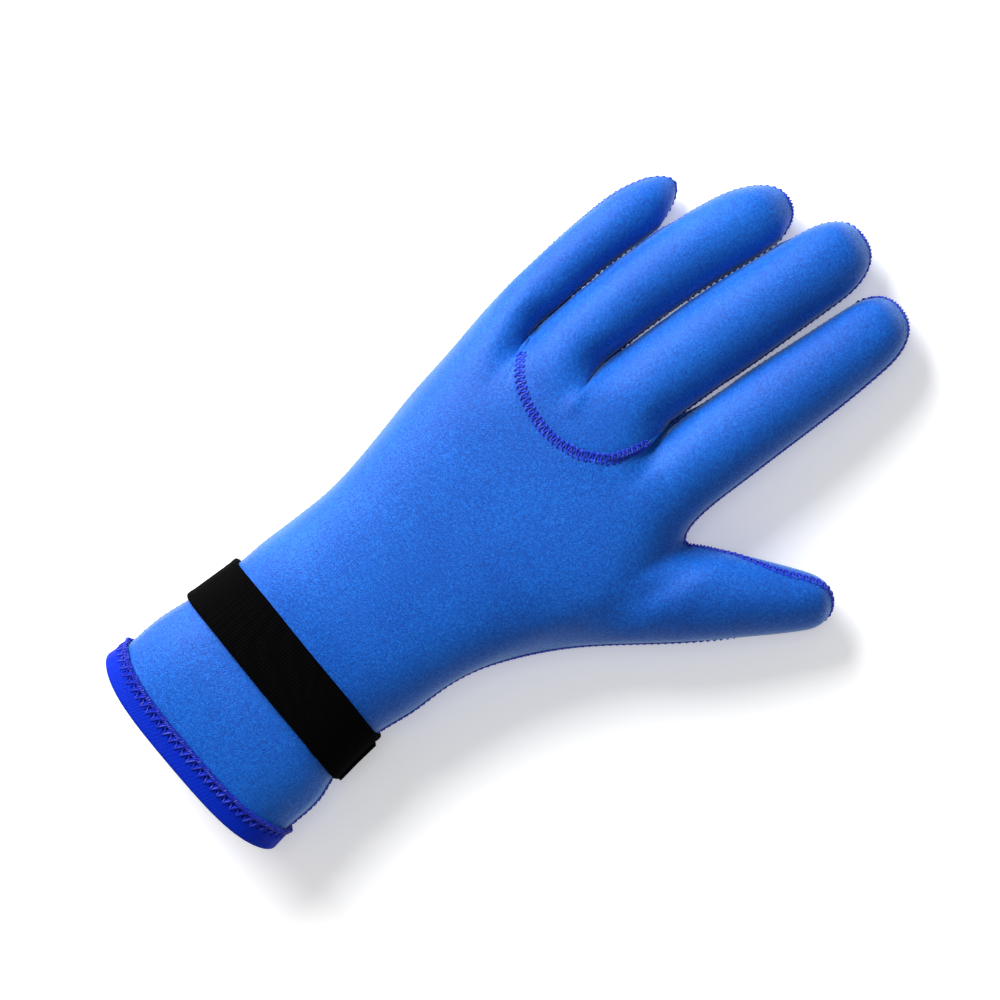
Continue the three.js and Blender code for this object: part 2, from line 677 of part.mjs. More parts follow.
// A band swept round the arm: a section of points at each step, closed on itself or with two ends
function bandSolid(sections, isLoop) {
  const size = sections[0].length;
  const steps = isLoop ? sections.length : sections.length - 1;
  const at = (s, k) => (s % sections.length) * size + (k % size);
  const triangles = [];
  for (let s = 0; s < steps; s += 1) {
    for (let k = 0; k < size; k += 1) {
      triangles.push([at(s, k), at(s + 1, k + 1), at(s, k + 1)], [at(s, k), at(s + 1, k), at(s + 1, k + 1)]);
    }
  }
  if (!isLoop) {
    const last = sections.length - 1;
    for (let k = 1; k < size / 2; k += 1) {
      const [a, b, c, d] = [k - 1, k, size - 1 - k, size - k];
      triangles.push([d, b, c], [d, a, b]);
      triangles.push([at(last, a), at(last, c), at(last, b)], [at(last, a), at(last, d), at(last, c)]);
    }
  }
  return solidOf(sections.flat(), triangles);
}

// A layer over the strap's rings: its two faces stand off the skin by these heights, and it covers a
// share of the strap's width from the edge beside the cuff
function strapLayer(skin, low, high, widthShare) {
  const rings = strapRings(skin.rings);
  return rings[0].map((_, i) => {
    const lifted = (height) => {
      const line = rings.map((ring) => {
        return skin.points[ring[i]].clone().addScaledVector(skin.normals[ring[i]], height);
      });
      return line.map((_, k) => {
        const from = Math.min(Math.floor(k * widthShare), line.length - 2);
        return line[from].clone().lerp(line[from + 1], k * widthShare - from);
      });
    };
    return [...lifted(high), ...lifted(low).reverse()];
  });
}

// The binding folds over the cuff's edge: a leaf outside, a leaf inside and the fold past the mouth
function cuffBinding(skin) {
  const [mouth, hem] = hemRings(skin.rings);
  const sections = mouth.map((m, i) => {
    const h = hem[i];
    const past = skin.points[m].clone().sub(skin.points[h]).normalize();
    const at = (k, lift, forward = 0) =>
      skin.points[k].clone().addScaledVector(skin.normals[k], lift).addScaledVector(past, forward);
    const [near, far] = [fitGap, fitGap + hemThickness];
    const [nearIn, farIn] = [-wallThickness - near, -wallThickness - far];
    const channel = [at(h, near), at(m, near, near), at(m, nearIn, near), at(h, nearIn)];
    const fold = [at(m, farIn, near), at(m, -wallThickness, far), at(m, 0, far), at(m, far, near)];
    return [...channel, at(h, farIn), ...fold, at(h, far)];
  });
  return bandSolid(sections, true);
}

// The strap goes all round, and its narrower closing end lies over it from the thumb's side under the wrist
function wristStrap(skin) {
  return bandSolid(strapLayer(skin, fitGap, fitGap + strapThickness, 1), true);
}
function strapEnd(skin) {
  const low = 2 * fitGap + strapThickness;
  const sections = strapLayer(skin, low, low + strapEndThickness, strapEndShare);
  return bandSolid(sections.slice(handColumns, handColumns + strapEndColumns + 1), false);
}

const neopreneFinish = { color: '#2a6fe0', roughness: 0.85, metalness: 0 };
const threadFinish = { color: '#1a1fd0', roughness: 0.7, metalness: 0 };
const webbingFinish = { color: '#0b0b0c', roughness: 0.9, metalness: 0 };

const skin = gloveSkin();
const panels = ['back_panel', 'finger_panel', 'palm_panel'];
const pieces = [
  ...panels.map((name) => ({ name, geometry: panelSolid(skin, name), finish: neopreneFinish })),
  { name: 'cuff_binding', geometry: cuffBinding(skin), finish: threadFinish },
  { name: 'wrist_strap', geometry: wristStrap(skin), finish: webbingFinish },
  { name: 'strap_end', geometry: strapEnd(skin), finish: webbingFinish },
];

// The origin is the middle of the glove's extent, on the surface that it lies on
const glove = new THREE.Group();
glove.name = 'diving_glove';
for (const { name, geometry, finish } of pieces) {
  const mesh = new THREE.Mesh(geometry, new THREE.MeshStandardMaterial(finish));
  mesh.name = name;
  glove.add(mesh);
}
const extent = new THREE.Box3().setFromObject(glove);
const middle = extent.getCenter(new THREE.Vector3());
glove.position.set(-middle.x, -middle.y, -extent.min.z);

export default glove;
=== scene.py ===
import math

import bmesh
import bpy
import numpy as np
from mathutils import Matrix, Vector
from mathutils.bvhtree import BVHTree
from mathutils.kdtree import KDTree


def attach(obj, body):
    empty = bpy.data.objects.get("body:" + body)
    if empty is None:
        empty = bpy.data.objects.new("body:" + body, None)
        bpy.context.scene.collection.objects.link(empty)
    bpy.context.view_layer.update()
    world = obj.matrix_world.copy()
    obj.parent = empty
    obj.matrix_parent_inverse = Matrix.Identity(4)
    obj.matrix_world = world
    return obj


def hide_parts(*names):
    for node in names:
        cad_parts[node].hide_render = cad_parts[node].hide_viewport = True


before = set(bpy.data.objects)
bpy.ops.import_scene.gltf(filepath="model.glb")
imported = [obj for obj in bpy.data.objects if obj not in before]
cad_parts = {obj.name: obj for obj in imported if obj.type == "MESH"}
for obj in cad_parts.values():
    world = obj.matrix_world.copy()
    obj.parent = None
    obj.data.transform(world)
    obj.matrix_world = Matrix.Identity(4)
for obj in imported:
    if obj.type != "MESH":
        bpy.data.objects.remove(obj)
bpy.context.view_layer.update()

# The view: the glove lies on a table and is seen from almost straight above, a little from the side of
# its fingertips. In the picture the hand points up and to the right, with the thumb below.
view_height = math.radians(84)
view_distance = 1.2
hand_angle = math.radians(37)
aimed_at = Vector((0, 0, 0.018))
off_centre = Vector((-0.0153, 0.0125))

towards_camera = Vector((0, math.cos(view_height), math.sin(view_height)))


def picture_axes(backwards):
    """The picture's right and up, for a camera that looks against this direction."""
    across = Vector((math.sin(hand_angle), math.cos(hand_angle), 0))
    right = (across - across.dot(backwards) * backwards).normalized()
    return right, backwards.cross(right)


right, up = picture_axes(towards_camera)
camera = bpy.data.objects.new("camera", bpy.data.cameras.new("camera"))
bpy.context.scene.collection.objects.link(camera)
bpy.context.scene.camera = camera
camera.data.lens = 130
camera.data.clip_end = 10
camera.location = aimed_at + view_distance * towards_camera
backwards = (camera.location - aimed_at - off_centre.x * right - off_centre.y * up).normalized()
right, up = picture_axes(backwards)
camera.rotation_mode = "QUATERNION"
camera.rotation_quaternion = Matrix((right, up, backwards)).transposed().to_quaternion()


# The three neoprene panels: 3 mm foam sheet with a fine blue knitted jersey laminated on both faces. They
# are cut to a pattern, sewn edge to edge, and turned, so they stand full between their seams.
jersey_tones = {
    0.37: (0.001, 0.042, 0.270, 1),
    0.50: (0.001, 0.079, 0.430, 1),
    0.63: (0.006, 0.145, 0.610, 1),
}
weld_reach = 2e-6
quad_fold = math.radians(60)
quad_skew = math.radians(70)
rim_reach = 0.0015
cuff_depth = 0.012
faces_mouth = -0.8
on_outer_skin = 0.99
fitting_passes = 4
fitting_share = 0.8


def new_material(name, roughness, shine, sheen=0.0, sheen_tint=(1, 1, 1, 1)):
    """A principled material, with its node tree and its shader."""
    material = bpy.data.materials.new(name)
    material.use_nodes = True
    shader = material.node_tree.nodes["Principled BSDF"]
    shader.inputs["Roughness"].default_value = roughness
    shader.inputs["Specular IOR Level"].default_value = shine
    shader.inputs["Sheen Weight"].default_value = sheen
    shader.inputs["Sheen Roughness"].default_value = 0.3
    shader.inputs["Sheen Tint"].default_value = sheen_tint
    return material, material.node_tree, shader


def add_node(tree, kind, values=None, **settings):
    """A node of a kind, with its settings and the values of its sockets."""
    node = tree.nodes.new(kind)
    for key, value in settings.items():
        setattr(node, key, value)
    for key, value in (values or {}).items():
        node.inputs[key].default_value = value
    return node


def blended(tree, one, other, share):
    """Two heights or tones mixed by a fixed share of the second."""
    mix = add_node(tree, "ShaderNodeMix", {"Factor": share}, data_type="FLOAT")
    tree.links.new(one, mix.inputs["A"])
    tree.links.new(other, mix.inputs["B"])
    return mix.outputs["Result"]


def toned(tree, height, tones, shader):
    """Colours a surface by a height, from a table of places and colours."""
    ramp = add_node(tree, "ShaderNodeValToRGB")
    steps = sorted(tones)
    for element, step in zip(ramp.color_ramp.elements, (steps[0], steps[-1])):
        element.position = step
        element.color = tones[step]
    for step in steps[1:-1]:
        ramp.color_ramp.elements.new(step).color = tones[step]
    tree.links.new(height, ramp.inputs["Fac"])
    tree.links.new(ramp.outputs["Color"], shader.inputs["Base Color"])


def embossed(tree, shader, heights):
    """Bumps laid one over the other. Each has a height, a strength and a depth in metres."""
    below = None
    for height, strength, depth in heights:
        bump = add_node(tree, "ShaderNodeBump", {"Strength": strength, "Distance": depth})
        tree.links.new(height, bump.inputs["Height"])
        if below:
            tree.links.new(below, bump.inputs["Normal"])
        below = bump.outputs["Normal"]
    tree.links.new(below, shader.inputs["Normal"])


def noise(tree, place, scale, detail=2, roughness=0.6):
    """Noise over these coordinates, finer with a larger scale."""
    texture = add_node(tree, "ShaderNodeTexNoise", {"Scale": scale, "Detail": detail, "Roughness": roughness})
    tree.links.new(place, texture.inputs["Vector"])
    return texture.outputs["Fac"]


def jersey_material():
    """Fine knit: small raised loops in rows up the hand, with specks of lighter and darker yarn."""
    material, tree, shader = new_material("blue_jersey", 0.52, 0.2, 0.8, (0.6, 0.9, 1, 1))
    place = add_node(tree, "ShaderNodeTexCoord").outputs["Object"]
    narrowed = add_node(tree, "ShaderNodeMapping", {"Scale": (1.5, 1.0, 1.5)})
    loops = add_node(tree, "ShaderNodeTexVoronoi", {"Scale": 1200, "Randomness": 0.6})
    tree.links.new(place, narrowed.inputs["Vector"])
    tree.links.new(narrowed.outputs["Vector"], loops.inputs["Vector"])
    grain = noise(tree, place, 2100, 2, 0.7)
    mottle = noise(tree, place, 1000)
    cloud = noise(tree, place, 24)
    speck = blended(tree, grain, mottle, 0.35)
    toned(tree, blended(tree, speck, cloud, 0.15), jersey_tones, shader)
    embossed(tree, shader, [(loops.outputs["Distance"], 0.5, 0.00025), (grain, 0.6, 0.0002)])
    return material


def pick(piece):
    """Selects one piece alone and makes it the active one."""
    bpy.ops.object.select_all(action="DESELECT")
    piece.select_set(True)
    bpy.context.view_layer.objects.active = piece


def copy_of(node, name, material):
    """A welded copy of a node's solid, with its triangles joined to quads."""
    pick(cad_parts[node])
    bpy.ops.object.duplicate()
    piece = bpy.context.active_object
    piece.name = name
    piece.parent = None
    piece.data.materials.clear()
    piece.data.materials.append(material)
    bpy.ops.object.mode_set(mode="EDIT")
    bpy.ops.mesh.select_all(action="SELECT")
    bpy.ops.mesh.customdata_custom_splitnormals_clear()
    bpy.ops.mesh.remove_doubles(threshold=weld_reach)
    bpy.ops.mesh.tris_convert_to_quads(face_threshold=quad_fold, shape_threshold=quad_skew)
    bpy.ops.object.mode_set(mode="OBJECT")
    return piece


def finder(points):
    """Finds the nearest of these points."""
    tree = KDTree(len(points))
    for i, point in enumerate(points):
        tree.insert(point, i)
    tree.balance()
    return tree


def split_skins(faces):
    """Faces grouped by the skin that they lie in, the larger skin first."""
    left, skins = set(faces), []
    while left:
        front = [left.pop()]
        skin = set(front)
        while front:
            for edge in front.pop().edges:
                met = [face for face in edge.link_faces if face in left]
                left.difference_update(met)
                skin.update(met)
                front.extend(met)
        skins.append(skin)
    return sorted(skins, key=lambda skin: -sum(face.calc_area() for face in skin))


def mark_rim(panel, others):
    """Creases the edges of the wall's cut faces and marks the outer skin. Gives the outer seam's edges."""
    mesh = bmesh.new()
    mesh.from_mesh(panel.data)
    rim = {v for v in mesh.verts if any(near.find(v.co)[2] < rim_reach for near in others)}
    mouth = min(v.co.y for v in mesh.verts) + cuff_depth
    sewn = {face for face in mesh.faces if rim.issuperset(face.verts)}
    open_end = {
        face for face in mesh.faces
        if face.normal.y < faces_mouth and max(v.co.y for v in face.verts) < mouth
    }
    skin = split_skins(set(mesh.faces) - sewn - open_end)[0]
    crease = mesh.edges.layers.float.new("crease_edge")
    outer = mesh.verts.layers.float.new("outer")
    for edge in mesh.edges:
        edge[crease] = float(sum(face in sewn or face in open_end for face in edge.link_faces) == 1)
    for face in skin:
        for v in face.verts:
            v[outer] = 1.0
    seam = [
        tuple(v.index for v in edge.verts) for edge in mesh.edges
        if any(f in sewn for f in edge.link_faces) and any(f in skin for f in edge.link_faces)
    ]
    mesh.to_mesh(panel.data)
    mesh.free()
    return seam


def corners_of(piece):
    """The piece's points, a row for each."""
    points = np.empty(len(piece.data.vertices) * 3)
    piece.data.vertices.foreach_get("co", points)
    return points.reshape(-1, 3)


def smooth_through(piece, levels):
    """Subdivides a piece so that its smooth surface passes through the points that it has now."""
    goal = corners_of(piece)
    modifier = piece.modifiers.new("smooth", "SUBSURF")
    modifier.levels = modifier.render_levels = levels
    for _ in range(fitting_passes):
        smooth = piece.evaluated_get(bpy.context.evaluated_depsgraph_get())
        missed = goal - corners_of(smooth)[: len(goal)]
        piece.data.vertices.foreach_set("co", (corners_of(piece) + fitting_share * missed).ravel())
        piece.data.update()
    pick(piece)
    bpy.ops.object.modifier_apply(modifier="smooth")


def finish_piece(piece, node=None):
    """Lays a piece on the table and shades it, says what it rides on, and hides the node that it replaces."""
    points = corners_of(piece)
    points[:, 2] = np.maximum(points[:, 2], 0)
    piece.data.vertices.foreach_set("co", points.ravel())
    piece.data.update()
    pick(piece)
    bpy.ops.object.shade_smooth_by_angle(angle=math.radians(50))
    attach(piece, "root")
    if node:
        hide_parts(node)


blue_jersey = jersey_material()
panel_nodes = {"back_of_hand": "back_panel", "finger_backs": "finger_panel", "palm_side": "palm_panel"}
node_points = {node: [v.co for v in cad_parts[node].data.vertices] for node in panel_nodes.values()}
panels, seam_edges = {}, {}
for name, node in panel_nodes.items():
    panels[name] = copy_of(node, name, blue_jersey)
    near = [finder(points) for other, points in node_points.items() if other != node]
    seam_edges[name] = mark_rim(panels[name], near)
    smooth_through(panels[name], levels=2)


# The seams: each is sewn flat with two rows of needle thread over the panels' edges, and looper threads
# that cross from one row to the other. The threads draw the neoprene in, so every seam lies in a groove.
# The seam thread's blue, with its palest stop painted on as glints of light on the filaments.
seam_thread_tones_and_glints = {
    0.36: (0.003, 0.012, 0.340, 1),
    0.57: (0.010, 0.036, 0.520, 1),
    0.76: (0.180, 0.250, 0.820, 1),
}
knuckle_stitch = {"pitch": 0.0019, "width": 0.0014, "thread": 0.00060, "flatness": 1.2}
side_stitch = {"pitch": 0.0023, "width": 0.0012, "thread": 0.00062, "flatness": 0}
row_sway = 0.25
row_lift = {"mean": 0.1, "swing": 0.6}
cross_reach = 1.05
cross_lift = {"mean": 0.25, "swing": 0.25}
points_a_stitch = 6
seam_step = 0.0008
knuckle_step = 0.0005
knuckle_ease = 8
fork_height = 0.029
side_roll = 0.0020
side_sink = 0.75
knuckle_roll = 0.0024
groove_width = 0.0015
knuckle_groove = 0.0006
side_groove = 0.0002
pressed_fingers = {"x": -0.02, "y": 0.03}
press_reach = 0.004
press_share = 0.4
press_start = 0.0004
finger_side = 0.6


def in_order(edges):
    """The runs of points that these edges join end to end."""
    beside = {}
    for a, b in edges:
        beside.setdefault(a, []).append(b)
        beside.setdefault(b, []).append(a)
    runs = []
    while beside:
        ends = [i for i in beside if len(beside[i]) == 1] or list(beside)
        run = [min(ends)]
        while beside.get(run[-1]):
            step = beside[run[-1]].pop(0)
            beside[step].remove(run[-1])
            run.append(step)
        beside = {i: others for i, others in beside.items() if others}
        runs.append(run)
    return runs


def between(a, b, c, d, t):
    """A point of the smooth curve through four points, at this share of the way from b to c."""
    straight = c - a
    bend = 2 * a - 5 * b + 4 * c - d
    twist = 3 * (b - c) + d - a
    return b + 0.5 * t * (straight + t * (bend + t * twist))


def evened(line, spacing):
    """A smooth line through these points, in equal steps."""
    line = np.array(line)
    padded = np.vstack([2 * line[0] - line[1], line, 2 * line[-1] - line[-2]])
    dense = []
    for a, b, c, d in zip(padded, padded[1:], padded[2:], padded[3:]):
        dense.extend(between(a, b, c, d, t) for t in np.linspace(0, 1, 8, endpoint=False))
    dense = np.array(dense + [line[-1]])
    walked = np.concatenate([[0], np.cumsum(np.linalg.norm(np.diff(dense, axis=0), axis=1))])
    stops = np.linspace(0, walked[-1], max(2, round(walked[-1] / spacing) + 1))
    return np.column_stack([np.interp(stops, walked, dense[:, k]) for k in range(3)])


def eased(points, reach):
    """Points or normals averaged with this many neighbours on each side."""
    padded = np.pad(points, ((reach, reach), (0, 0)), mode="edge")
    share = np.full(2 * reach + 1, 1 / (2 * reach + 1))
    return np.column_stack([np.convolve(padded[:, k], share, "valid") for k in range(3)])


def outer_skin(pieces):
    """The outer skin of these panels, for finding the nearest place on it."""
    points, faces = [], []
    for piece in pieces:
        outer = piece.data.attributes["outer"].data
        first = len(points)
        points.extend(v.co.copy() for v in piece.data.vertices)
        faces.extend(
            [first + i for i in face.vertices] for face in piece.data.polygons
            if all(outer[i].value > on_outer_skin for i in face.vertices)
        )
    return BVHTree.FromPolygons(points, faces)


def seam_lines(panel, neighbours):
    """The middle lines of the seams between a panel and its neighbours."""
    points = corners_of(panel)
    facing = []
    for piece in neighbours:
        corners = corners_of(piece)
        facing.extend(Vector(corners[i]) for edge in seam_edges[piece.name] for i in edge)
    near = finder(facing)
    edges = [
        edge for edge in seam_edges[panel.name]
        if all(near.find(points[i])[2] < rim_reach for i in edge)
    ]
    lines = []
    for run in in_order(edges):
        lines.append([(Vector(points[i]) + near.find(points[i])[0]) / 2 for i in run])
    return [line for line in lines if len(line) > 3]


def pull_in(piece, lines, depth, skin):
    """Draws the outer skin in along these seams."""
    near = finder([Vector(point) for line in lines for point in evened(line, seam_step)])
    outer = piece.data.attributes["outer"].data
    for v, mark in zip(piece.data.vertices, outer):
        gap = near.find(v.co)[2]
        if mark.value > on_outer_skin and gap < 4 * groove_width:
            normal = skin.find_nearest(v.co)[1]
            v.co -= normal * depth * math.exp(-((gap / groove_width) ** 2))


def press_together(piece, skin):
    """Fills the fingers out where they nearly touch, from the little finger to the middle one."""
    outer = piece.data.attributes["outer"].data
    for v, mark in zip(piece.data.vertices, outer):
        if mark.value < on_outer_skin or abs(v.normal.z) > finger_side:
            continue
        if v.co.x > pressed_fingers["x"] or v.co.y < pressed_fingers["y"]:
            continue
        gap = skin.ray_cast(v.co + v.normal * press_start, v.normal, press_reach)[3]
        if gap:
            fill = press_share * min(press_reach - gap, gap)
            v.co += v.normal * fill * (1 - (v.normal.z / finger_side) ** 2) ** 2


def thread_mesh(name, lines, thickness, material):
    """Round threads that follow these lines, as one mesh."""
    data = bpy.data.curves.new(name, "CURVE")
    data.dimensions = "3D"
    data.bevel_depth = thickness / 2
    data.bevel_resolution = 1
    data.use_fill_caps = True
    for line in lines:
        spline = data.splines.new("POLY")
        spline.points.add(len(line) - 1)
        spline.points.foreach_set("co", np.column_stack([line, np.ones(len(line))]).ravel())
    thread = bpy.data.objects.new(name, data)
    bpy.context.scene.collection.objects.link(thread)
    pick(thread)
    bpy.ops.object.convert(target="MESH")
    thread.data.materials.append(material)
    return thread


def rolled(line, skin, height):
    """A seam rolled up or down the panels, by a height that depends on the place and on its normal."""
    moved = []
    for point in line:
        normal = skin.find_nearest(Vector(point))[1]
        moved.append(skin.find_nearest(Vector(point) + Vector((0, 0, height(point, normal))))[0])
    return moved


def faces_little_side(point, normal):
    """How far a place on the little finger's half of the hand faces that side."""
    return max(-normal[0], 0) * (point[0] < 0)


def under_side(point, normal):
    """On the little finger's side, the side seam rolls under the hand."""
    return -side_roll * faces_little_side(point, normal)


def over_mound(point, normal):
    """Where the knuckles' mound is steep, the curved seam rolls up on it."""
    return knuckle_roll * (1 - normal.z) * (normal.x > 0)


def sewn_line(line, skin, form):
    """The threads of one seam: two rows that dip into the neoprene, and one thread that crosses them."""
    spacing = form["pitch"] / points_a_stitch
    middle = evened(line, spacing)
    along = np.gradient(middle, axis=0)
    along /= np.linalg.norm(along, axis=1)[:, None]
    normals = np.array([skin.find_nearest(Vector(point))[1] for point in middle])
    normals = eased(normals, points_a_stitch)
    normals[:, 2] += form["flatness"]
    normals -= (normals * along).sum(1)[:, None] * along
    normals /= np.linalg.norm(normals, axis=1)[:, None]
    aside = np.cross(along, normals)
    turn = 2 * np.pi * np.arange(len(middle)) / points_a_stitch
    threads = [
        (side + row_sway * np.sin(turn + lag), row_lift["mean"] + row_lift["swing"] * np.cos(turn + lag))
        for side, lag in ((-1, 0), (1, np.pi))
    ]
    threads.append((cross_reach * np.sin(turn), cross_lift["mean"] + cross_lift["swing"] * np.cos(2 * turn)))
    made = []
    for across, lift in threads:
        placed = middle + aside * form["width"] * across[:, None]
        thread = []
        for point, height, normal in zip(placed, lift, normals):
            spot, facing = skin.find_nearest(Vector(point))[:2]
            out = (facing + Vector(normal)).normalized()
            sunk = side_sink * faces_little_side(point, normal)
            laid = spot + out * ((height - sunk) * form["thread"])
            thread.append((laid.x, laid.y, max(laid.z, form["thread"] / 2)))
        made.append(thread)
    return made


def thread_material(name, tones):
    """Twisted filament thread: fine slanting ridges, with the lighter specks of the tone table painted on as
    glints of light on the filaments.
    """
    material, tree, shader = new_material(name, 0.5, 0.3, 0.1)
    place = add_node(tree, "ShaderNodeTexCoord").outputs["Object"]
    fibres = noise(tree, place, 5200, 2, 0.7)
    lengths = noise(tree, place, 900)
    toned(tree, blended(tree, fibres, lengths, 0.55), tones, shader)
    embossed(tree, shader, [(fibres, 0.5, 0.0001)])
    return material


seam_thread = thread_material("blue_seam_thread", seam_thread_tones_and_glints)
back, finger_backs, palm = panels["back_of_hand"], panels["finger_backs"], panels["palm_side"]
knuckle_lines = [
    eased(evened(line, knuckle_step), knuckle_ease) for line in seam_lines(finger_backs, [back])
]
side_lines = seam_lines(palm, [back, finger_backs])
flat_skin = outer_skin(panels.values())
for panel in panels.values():
    press_together(panel, flat_skin)
    pull_in(panel, knuckle_lines, knuckle_groove, flat_skin)
    pull_in(panel, side_lines, side_groove, flat_skin)
skin = outer_skin(panels.values())
shown_lines = [line[line[:, 2] > fork_height] for line in knuckle_lines]
for name, lines, form in (
    ("knuckle_seam_threads", [rolled(line, skin, over_mound) for line in shown_lines], knuckle_stitch),
    ("side_seam_threads", [rolled(line, skin, under_side) for line in side_lines], side_stitch),
):
    threads = [thread for line in lines for thread in sewn_line(line, skin, form)]
    finish_piece(thread_mesh(name, threads, form["thread"], seam_thread))
for name, node in panel_nodes.items():
    finish_piece(panels[name], node)


# The cuff's binding: a strip folded over the cut edge and overlocked to it. Wide looper stitches zigzag
# near its upper edge, where they pull small wedge-shaped pits into the foam, and a chain of thread ends it.
hem_tones = {
    0.15: (0.0, 0.001, 0.105, 1),
    0.50: (0.0, 0.014, 0.390, 1),
    0.80: (0.004, 0.050, 0.600, 1),
}
hem_thread_tones = {
    0.35: (0.0, 0.007, 0.260, 1),
    0.57: (0.001, 0.016, 0.400, 1),
    0.80: (0.012, 0.060, 0.640, 1),
}
hem_step = 0.0003
hem_rows = (0.0009, 0.0037)
hem_thread = 0.00075
zigzag = {"pitch": 0.0030, "reach": 1.1, "lift": 0.0001}
pit = {"depth": 0.0008, "width": 0.36, "taper": 1.15}
chain = {"pitch": 0.0016, "place": 0.0004, "sway": 0.00028, "lift": 0.00015}
hem_welt = {"height": 0.00025, "place": 0.0003, "width": 0.0005}
fold_out = 0.0011
fold_ramp = 0.003
corner_fold = 1
least_width = 0.004
# How strongly the relief height is painted into the hem's colour: painted shade in the pits, painted light on
# the welt.
relief_painted_shade_strength = 450
outside_gap = 0.0008


def band_copy(node, name, material, corner, cuts):
    """A smooth copy of a band, cut finer across its outer face. Gives the band and its finger-side edge."""
    band = copy_of(node, name, material)
    mesh = bmesh.new()
    mesh.from_mesh(band.data)
    crease = mesh.edges.layers.float.new("crease_edge")
    edge_faces = {face for face in mesh.faces if face.normal.y > 0.6}
    for edge in mesh.edges:
        edge[crease] = corner if edge.calc_face_angle(0) > corner_fold else 0
    ends = [
        edge for edge in mesh.edges
        if edge.calc_face_angle_signed(0) > corner_fold and edge_faces.intersection(edge.link_faces)
    ]
    runs = in_order([tuple(v.index for v in edge.verts) for edge in ends])
    mesh.verts.ensure_lookup_table()
    lines = [[mesh.verts[i].co.copy() for i in run] for run in runs]
    longest = max(range(len(runs)), key=lambda k: sum((a - b).length for a, b in zip(lines[k], lines[k][1:])))
    on_edge = {mesh.verts[i] for i in runs[longest]}
    across = [
        edge for edge in mesh.edges if on_edge.intersection(edge.verts) and edge.calc_length() > least_width
    ]
    bmesh.ops.subdivide_edges(mesh, edges=across, cuts=cuts)
    mesh.to_mesh(band.data)
    mesh.free()
    smooth_through(band, levels=3)
    return band, evened(lines[longest], hem_step)


def placed_on(points, line):
    """How far along a band's edge line each point lies, and how far towards the cuff's mouth."""
    flat = np.array([(x, 0, z) for x, _, z in line])
    steps = np.linalg.norm(np.diff(flat, axis=0), axis=1)
    walked = np.concatenate([[0], np.cumsum(steps)])
    near = finder([Vector(point) for point in flat])
    found = [near.find((x, 0, z))[1] for x, _, z in points]
    return walked[found], line[found, 1] - points[:, 1], walked[-1]


def lay_weave(band, line):
    """Writes the band's UV map in metres, along it and across it."""
    along, across, total = placed_on(corners_of(band), line)
    weave = band.data.uv_layers.new(name="weave")
    for face in band.data.polygons:
        wraps = np.ptp(along[list(face.vertices)]) > total / 2
        for loop in face.loop_indices:
            i = band.data.loops[loop].vertex_index
            weave.data[loop].uv = (along[i] + (total if wraps and along[i] < total / 2 else 0), across[i])


def shape_outside(band, line, skin, shape):
    """Moves the band's outer face out by a height that depends on the place along and across it."""
    points = corners_of(band)
    along, across, total = placed_on(points, line)
    normals = np.array([v.normal for v in band.data.vertices])
    gaps = np.array([skin.find_nearest(Vector(point))[3] for point in points])
    facing = np.array([skin.find_nearest(Vector(point))[1] for point in points])
    outside = np.clip(((normals * facing).sum(1) - 0.5) * 3, 0, 1) * (gaps > outside_gap)
    heights = outside * shape(along, across, total)
    points += normals * heights[:, None]
    band.data.vertices.foreach_set("co", points.ravel())
    band.data.attributes.new("relief", "FLOAT", "POINT").data.foreach_set("value", heights)
    band.data.update()


def whole_pitch(total, pitch):
    """A pitch near this one that fits a whole number of times."""
    return total / round(total / pitch)


def roll_out(band, line):
    """Lets the binding's fold stand out past the cut edge that it covers."""
    points = corners_of(band)
    across = placed_on(points, line)[1]
    points[:, 1] -= fold_out * np.clip((across - hem_rows[1]) / fold_ramp, 0, 1)
    band.data.vertices.foreach_set("co", points.ravel())
    band.data.update()


def hem_relief(along, across, total):
    """Wedge-shaped pits between the zigzag's legs, and a low welt along the upper edge."""
    phase = (along / whole_pitch(total, zigzag["pitch"])) % 1
    depth = np.clip((across - hem_rows[0]) / (hem_rows[1] - hem_rows[0]), 0, 1)
    inside = (across > hem_rows[0]) & (across < hem_rows[1])
    half_width = pit["width"] * (pit["taper"] - depth)
    wedge = np.clip(1 - np.abs(phase - 0.5) / half_width, 0, 1) * np.sin(np.pi * depth) ** 0.5
    welt = np.exp(-(((across - hem_welt["place"]) / hem_welt["width"]) ** 2))
    return inside * wedge ** 0.7 * -pit["depth"] + welt * hem_welt["height"]


def lifted_line(band_skin, line, along, across, lifts):
    """A thread's points on a band: along its edge line, across from it and above its face."""
    steps = np.linalg.norm(np.diff(line[:, [0, 2]], axis=0), axis=1)
    walked = np.concatenate([[0], np.cumsum(steps)])
    thread = []
    for u, v, lift in zip(along % walked[-1], across, lifts):
        base = Vector([np.interp(u, walked, line[:, k]) for k in range(3)])
        spot, normal = band_skin.find_nearest(base - Vector((0, v, 0)))[:2]
        thread.append(spot + normal * float(lift))
    return thread


